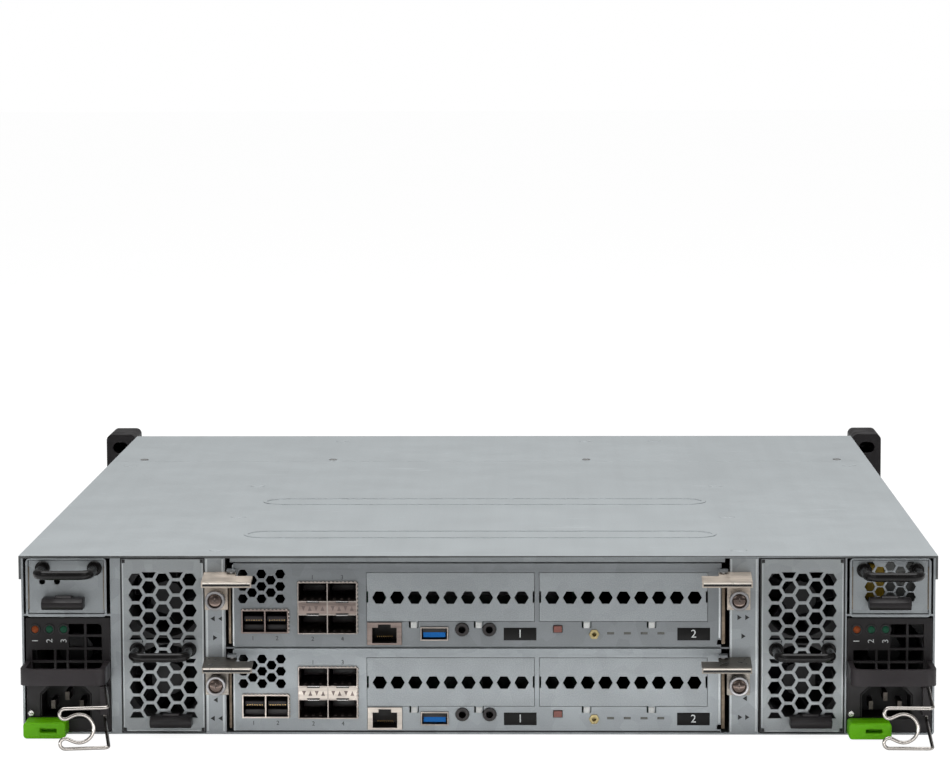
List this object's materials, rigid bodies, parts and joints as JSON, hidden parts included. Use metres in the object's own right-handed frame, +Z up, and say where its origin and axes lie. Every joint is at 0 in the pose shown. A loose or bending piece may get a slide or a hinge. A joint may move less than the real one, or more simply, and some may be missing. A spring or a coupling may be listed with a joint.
{
  "type": "disk shelf enclosure",
  "caption": "Two-unit rack disk shelf with sliding controllers, power supplies, fan modules and drive trays in a sheet steel chassis.",
  "frame": {"origin": "middle of the underside of the chassis", "axes": "+Z up, +Y towards the drive front, -Y the connector side, +X to the right seen from the connector side"},
  "size_m": [0.4826, 0.5756, 0.0904],
  "materials": {
    "sheet_steel": "galvanised steel sheet",
    "cover_steel": "zinc-coated steel sheet, fine grain",
    "black_plastic": "matt moulded black plastic",
    "black_metal": "black coated steel",
    "green_plastic": "satin moulded green plastic",
    "bright_wire": "bright drawn spring wire",
    "lever_nickel": "warm nickel-plated steel",
    "screw_steel": "bright plated steel",
    "port_metal": "tin-plated connector cages with black and blue inserts",
    "circuit_board": "green solder mask over glass fibre",
    "button_plastic": "matt red-brown plastic",
    "drive_tray": "dark tray bezel with a grey drive"
  },
  "bodies": {
    "root": {"chassis_base": "sheet_steel", "top_cover": "cover_steel", "front_roof_panel": "cover_steel", "rear_bay_frame": "sheet_steel", "midplane_board": "circuit_board", "rack_ears": "black_plastic", "cover_screws": "screw_steel", "drive_cage": "sheet_steel"},
    "controller_upper": {"canister_upper": "sheet_steel", "ports_upper": "port_metal", "board_upper": "circuit_board"},
    "mute_button_upper": {"mute_button_upper": "button_plastic"},
    "lever_upper_left": {"lever_upper_left": "lever_nickel"},
    "thumbscrew_upper_left": {"thumbscrew_upper_left": "screw_steel"},
    "lever_upper_right": {"lever_upper_right": "lever_nickel"},
    "thumbscrew_upper_right": {"thumbscrew_upper_right": "screw_steel"},
    "controller_lower": {"canister_lower": "sheet_steel", "ports_lower": "port_metal", "board_lower": "circuit_board"},
    "mute_button_lower": {"mute_button_lower": "button_plastic"},
    "lever_lower_left": {"lever_lower_left": "lever_nickel"},
    "thumbscrew_lower_left": {"thumbscrew_lower_left": "screw_steel"},
    "lever_lower_right": {"lever_lower_right": "lever_nickel"},
    "thumbscrew_lower_right": {"thumbscrew_lower_right": "screw_steel"},
    "psu_left": {"psu_left_case": "black_metal", "psu_left_bezel": "black_plastic", "psu_left_inlet": "black_plastic"},
    "psu_left_tab": {"psu_left_tab": "green_plastic"},
    "cord_bail_left": {"cord_bail_left": "bright_wire"},
    "psu_rotor_left": {"psu_rotor_left": "black_plastic"},
    "psu_right": {"psu_right_case": "black_metal", "psu_right_bezel": "black_plastic", "psu_right_inlet": "black_plastic"},
    "psu_right_tab": {"psu_right_tab": "green_plastic"},
    "cord_bail_right": {"cord_bail_right": "bright_wire"},
    "psu_rotor_right": {"psu_rotor_right": "black_plastic"},
    "fan_left": {"fan_module_left": "sheet_steel"},
    "fan_latch_left": {"fan_latch_left": "black_plastic"},
    "fan_rotor_left_1": {"fan_rotor_left_1": "black_plastic"},
    "fan_rotor_left_2": {"fan_rotor_left_2": "black_plastic"},
    "fan_right": {"fan_module_right": "sheet_steel"},
    "fan_latch_right": {"fan_latch_right": "black_plastic"},
    "fan_rotor_right_1": {"fan_rotor_right_1": "black_plastic"},
    "fan_rotor_right_2": {"fan_rotor_right_2": "black_plastic"},
    "small_left": {"small_module_left": "sheet_steel"},
    "small_latch_left": {"small_latch_left": "black_plastic"},
    "small_right": {"small_module_right": "sheet_steel"},
    "small_latch_right": {"small_latch_right": "black_plastic"},
    "drive_tray_01": {"drive_tray_01": "drive_tray"},
    "drive_tray_02": {"drive_tray_02": "drive_tray"},
    "drive_tray_03": {"drive_tray_03": "drive_tray"},
    "drive_tray_04": {"drive_tray_04": "drive_tray"},
    "drive_tray_05": {"drive_tray_05": "drive_tray"},
    "drive_tray_06": {"drive_tray_06": "drive_tray"},
    "drive_tray_07": {"drive_tray_07": "drive_tray"},
    "drive_tray_08": {"drive_tray_08": "drive_tray"},
    "drive_tray_09": {"drive_tray_09": "drive_tray"},
    "drive_tray_10": {"drive_tray_10": "drive_tray"},
    "drive_tray_11": {"drive_tray_11": "drive_tray"},
    "drive_tray_12": {"drive_tray_12": "drive_tray"}
  },
  "joints": [
    {"name": "controller_upper_slide", "type": "slide", "parent": "root", "child": "controller_upper", "axis": [0, -1, 0], "range_m": [0, 0.32]},
    {"name": "mute_button_upper_press", "type": "slide", "parent": "controller_upper", "child": "mute_button_upper", "axis": [0, 1, 0], "range_m": [0, 0.001], "stiffness_N_per_m": 400},
    {"name": "lever_upper_left_swing", "type": "hinge", "parent": "controller_upper", "child": "lever_upper_left", "pos_m": [-0.1195, -0.2522, 0.0802], "axis": [0, 0, 1], "range_deg": [0, 26]},
    {"name": "thumbscrew_upper_left_drive", "type": "slide", "parent": "lever_upper_left", "child": "thumbscrew_upper_left", "axis": [0, 1, 0], "range_m": [0, 0.0036]},
    {"name": "lever_upper_right_swing", "type": "hinge", "parent": "controller_upper", "child": "lever_upper_right", "pos_m": [0.1195, -0.2522, 0.0802], "axis": [0, 0, -1], "range_deg": [0, 26]},
    {"name": "thumbscrew_upper_right_drive", "type": "slide", "parent": "lever_upper_right", "child": "thumbscrew_upper_right", "axis": [0, 1, 0], "range_m": [0, 0.0036]},
    {"name": "controller_lower_slide", "type": "slide", "parent": "root", "child": "controller_lower", "axis": [0, -1, 0], "range_m": [0, 0.32]},
    {"name": "mute_button_lower_press", "type": "slide", "parent": "controller_lower", "child": "mute_button_lower", "axis": [0, 1, 0], "range_m": [0, 0.001], "stiffness_N_per_m": 400},
    {"name": "lever_lower_left_swing", "type": "hinge", "parent": "controller_lower", "child": "lever_lower_left", "pos_m": [-0.1195, -0.2522, 0.0383], "axis": [0, 0, 1], "range_deg": [0, 26]},
    {"name": "thumbscrew_lower_left_drive", "type": "slide", "parent": "lever_lower_left", "child": "thumbscrew_lower_left", "axis": [0, 1, 0], "range_m": [0, 0.0036]},
    {"name": "lever_lower_right_swing", "type": "hinge", "parent": "controller_lower", "child": "lever_lower_right", "pos_m": [0.1195, -0.2522, 0.0383], "axis": [0, 0, -1], "range_deg": [0, 26]},
    {"name": "thumbscrew_lower_right_drive", "type": "slide", "parent": "lever_lower_right", "child": "thumbscrew_lower_right", "axis": [0, 1, 0], "range_m": [0, 0.0036]},
    {"name": "psu_left_slide", "type": "slide", "parent": "root", "child": "psu_left", "axis": [0, -1, 0], "range_m": [0, 0.32]},
    {"name": "psu_left_tab_squeeze", "type": "slide", "parent": "psu_left", "child": "psu_left_tab", "axis": [1, 0, 0], "range_m": [0, 0.0025], "stiffness_N_per_m": 800},
    {"name": "cord_bail_left_swing", "type": "hinge", "parent": "psu_left", "child": "cord_bail_left", "pos_m": [-0.182, -0.2526, 0.0173], "axis": [0, 0, 1], "range_deg": [-34.5, 40.5]},
    {"name": "psu_rotor_left_spin", "type": "hinge", "parent": "psu_left", "child": "psu_rotor_left", "pos_m": [-0.1998, -0.218, 0.0369], "axis": [0, 1, 0], "continuous": true},
    {"name": "psu_right_slide", "type": "slide", "parent": "root", "child": "psu_right", "axis": [0, -1, 0], "range_m": [0, 0.32]},
    {"name": "psu_right_tab_squeeze", "type": "slide", "parent": "psu_right", "child": "psu_right_tab", "axis": [1, 0, 0], "range_m": [0, 0.0025], "stiffness_N_per_m": 800},
    {"name": "cord_bail_right_swing", "type": "hinge", "parent": "psu_right", "child": "cord_bail_right", "pos_m": [0.2182, -0.2526, 0.0173], "axis": [0, 0, 1], "range_deg": [-23, 52]},
    {"name": "psu_rotor_right_spin", "type": "hinge", "parent": "psu_right", "child": "psu_rotor_right", "pos_m": [0.2004, -0.218, 0.0369], "axis": [0, 1, 0], "continuous": true},
    {"name": "fan_left_slide", "type": "slide", "parent": "root", "child": "fan_left", "axis": [0, -1, 0], "range_m": [0, 0.115]},
    {"name": "fan_latch_left_lift", "type": "slide", "parent": "fan_left", "child": "fan_latch_left", "axis": [0, 0, 1], "range_m": [0, 0.0016], "stiffness_N_per_m": 600},
    {"name": "fan_rotor_left_1_spin", "type": "hinge", "parent": "fan_left", "child": "fan_rotor_left_1", "pos_m": [-0.15325, -0.226, 0.0236], "axis": [0, 1, 0], "continuous": true},
    {"name": "fan_rotor_left_2_spin", "type": "hinge", "parent": "fan_left", "child": "fan_rotor_left_2", "pos_m": [-0.15325, -0.226, 0.0641], "axis": [0, 1, 0], "continuous": true},
    {"name": "fan_right_slide", "type": "slide", "parent": "root", "child": "fan_right", "axis": [0, -1, 0], "range_m": [0, 0.115]},
    {"name": "fan_latch_right_lift", "type": "slide", "parent": "fan_right", "child": "fan_latch_right", "axis": [0, 0, 1], "range_m": [0, 0.0016], "stiffness_N_per_m": 600},
    {"name": "fan_rotor_right_1_spin", "type": "hinge", "parent": "fan_right", "child": "fan_rotor_right_1", "pos_m": [0.15805, -0.226, 0.0236], "axis": [0, 1, 0], "continuous": true},
    {"name": "fan_rotor_right_2_spin", "type": "hinge", "parent": "fan_right", "child": "fan_rotor_right_2", "pos_m": [0.15805, -0.226, 0.0641], "axis": [0, 1, 0], "continuous": true},
    {"name": "small_left_slide", "type": "slide", "parent": "root", "child": "small_left", "axis": [0, -1, 0], "range_m": [0, 0.32]},
    {"name": "small_latch_left_lift", "type": "slide", "parent": "small_left", "child": "small_latch_left", "axis": [0, 0, 1], "range_m": [0, 0.0016], "stiffness_N_per_m": 600},
    {"name": "small_right_slide", "type": "slide", "parent": "root", "child": "small_right", "axis": [0, -1, 0], "range_m": [0, 0.32]},
    {"name": "small_latch_right_lift", "type": "slide", "parent": "small_right", "child": "small_latch_right", "axis": [0, 0, 1], "range_m": [0, 0.0016], "stiffness_N_per_m": 600},
    {"name": "drive_tray_01_slide", "type": "slide", "parent": "root", "child": "drive_tray_01", "axis": [0, 1, 0], "range_m": [0, 0.19]},
    {"name": "drive_tray_02_slide", "type": "slide", "parent": "root", "child": "drive_tray_02", "axis": [0, 1, 0], "range_m": [0, 0.19]},
    {"name": "drive_tray_03_slide", "type": "slide", "parent": "root", "child": "drive_tray_03", "axis": [0, 1, 0], "range_m": [0, 0.19]},
    {"name": "drive_tray_04_slide", "type": "slide", "parent": "root", "child": "drive_tray_04", "axis": [0, 1, 0], "range_m": [0, 0.19]},
    {"name": "drive_tray_05_slide", "type": "slide", "parent": "root", "child": "drive_tray_05", "axis": [0, 1, 0], "range_m": [0, 0.19]},
    {"name": "drive_tray_06_slide", "type": "slide", "parent": "root", "child": "drive_tray_06", "axis": [0, 1, 0], "range_m": [0, 0.19]},
    {"name": "drive_tray_07_slide", "type": "slide", "parent": "root", "child": "drive_tray_07", "axis": [0, 1, 0], "range_m": [0, 0.19]},
    {"name": "drive_tray_08_slide", "type": "slide", "parent": "root", "child": "drive_tray_08", "axis": [0, 1, 0], "range_m": [0, 0.19]},
    {"name": "drive_tray_09_slide", "type": "slide", "parent": "root", "child": "drive_tray_09", "axis": [0, 1, 0], "range_m": [0, 0.19]},
    {"name": "drive_tray_10_slide", "type": "slide", "parent": "root", "child": "drive_tray_10", "axis": [0, 1, 0], "range_m": [0, 0.19]},
    {"name": "drive_tray_11_slide", "type": "slide", "parent": "root", "child": "drive_tray_11", "axis": [0, 1, 0], "range_m": [0, 0.19]},
    {"name": "drive_tray_12_slide", "type": "slide", "parent": "root", "child": "drive_tray_12", "axis": [0, 1, 0], "range_m": [0, 0.19]}
  ]
}
